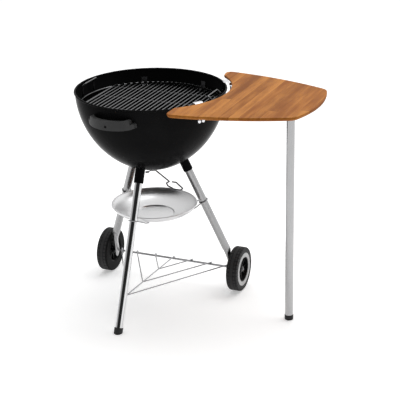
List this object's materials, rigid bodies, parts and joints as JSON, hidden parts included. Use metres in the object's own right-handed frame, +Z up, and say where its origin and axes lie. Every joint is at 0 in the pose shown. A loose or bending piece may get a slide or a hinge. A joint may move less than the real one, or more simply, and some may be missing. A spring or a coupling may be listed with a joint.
{
  "type": "kettle charcoal grill",
  "caption": "Round kettle charcoal grill on a tripod with two wheels, ash dish, wire rack and a wooden side table that hooks over the rim.",
  "frame": {"origin": "on the floor, under the middle of the whole object's bounding box", "axes": "+Z up; +X from the bowl towards the side table, along the wheels' axle; -Y towards the single front leg"},
  "size_m": [0.7998, 0.5674, 0.708],
  "materials": {
    "black_enamel": "gloss",
    "leg_aluminium": "polished",
    "foot_plastic": "satin",
    "wheel_rubber": "matt",
    "wheel_ring": "satin",
    "hub_plastic": "satin",
    "cap_steel": "gloss",
    "rack_wire": "plated",
    "pan_aluminium": "spun satin",
    "clip_wire": "plated",
    "lever_wire": "dark plated",
    "vane_aluminium": "satin",
    "grate_plating": "bright plated",
    "grate_steel": "plated",
    "support_steel": "satin",
    "handle_plastic": "moulded, satin",
    "strap_steel": "plated",
    "screw_steel": "plated",
    "bracket_chrome": "bright",
    "stud_chrome": "bright",
    "oiled_wood": "oiled, satin",
    "flange_steel": "satin"
  },
  "bodies": {
    "kettle": {"ash_pan": "pan_aluminium", "axle": "rack_wire", "bottom_rack": "rack_wire", "bowl": "black_enamel", "charcoal_grate_supports": "support_steel", "cooking_grate_supports": "support_steel", "front_foot_cap": "foot_plastic", "front_handle": "handle_plastic", "front_handle_screw": "screw_steel", "front_handle_strap": "strap_steel", "front_leg": "leg_aluminium", "front_leg_socket": "black_enamel", "front_pan_clip": "clip_wire", "left_axle_cap": "cap_steel", "left_leg": "leg_aluminium", "left_leg_socket": "black_enamel", "left_pan_clip": "clip_wire", "rear_handle": "handle_plastic", "rear_handle_screw": "screw_steel", "rear_handle_strap": "strap_steel", "right_axle_cap": "cap_steel", "right_leg": "leg_aluminium", "right_leg_socket": "black_enamel", "right_pan_clip": "clip_wire"},
    "left_wheel": {"left_tyre": "wheel_rubber", "left_whitewall": "wheel_ring", "left_hub": "hub_plastic"},
    "right_wheel": {"right_tyre": "wheel_rubber", "right_whitewall": "wheel_ring", "right_hub": "hub_plastic"},
    "vent_sweep": {"vent_lever": "lever_wire", "sweep_stem": "lever_wire", "sweep_vanes": "vane_aluminium", "sweep_split_pin": "lever_wire"},
    "cooking_grate": {"cooking_grate": "grate_plating"},
    "charcoal_grate": {"charcoal_grate": "grate_steel"},
    "side_table": {"front_bracket": "bracket_chrome", "front_bracket_studs": "stud_chrome", "rear_bracket": "bracket_chrome", "rear_bracket_studs": "stud_chrome", "table_board": "oiled_wood", "table_foot_cap": "foot_plastic", "table_leg": "leg_aluminium", "table_leg_flange": "flange_steel", "table_screws": "screw_steel"}
  },
  "joints": [
    {"name": "left_wheel_spin", "type": "hinge", "parent": "kettle", "child": "left_wheel", "pos_m": [-0.3811, 0.15715, 0.0725], "axis": [1, 0, 0], "continuous": true},
    {"name": "right_wheel_spin", "type": "hinge", "parent": "kettle", "child": "right_wheel", "pos_m": [0.0849, 0.15715, 0.0725], "axis": [1, 0, 0], "continuous": true},
    {"name": "vent_lever_turn", "type": "hinge", "parent": "kettle", "child": "vent_sweep", "pos_m": [-0.1481, 0.0225, 0.43], "axis": [0, 0, 1], "range_deg": [-30, 40]},
    {"name": "cooking_grate_lift", "type": "slide", "parent": "kettle", "child": "cooking_grate", "axis": [0, 0, 1], "range_m": [0, 0.15]},
    {"name": "charcoal_grate_lift", "type": "slide", "parent": "kettle", "child": "charcoal_grate", "axis": [0, 0, 1], "range_m": [0, 0.08]},
    {"name": "side_table_lift", "type": "slide", "parent": "kettle", "child": "side_table", "axis": [0, 0, 1], "range_m": [0, 0.06]}
  ]
}
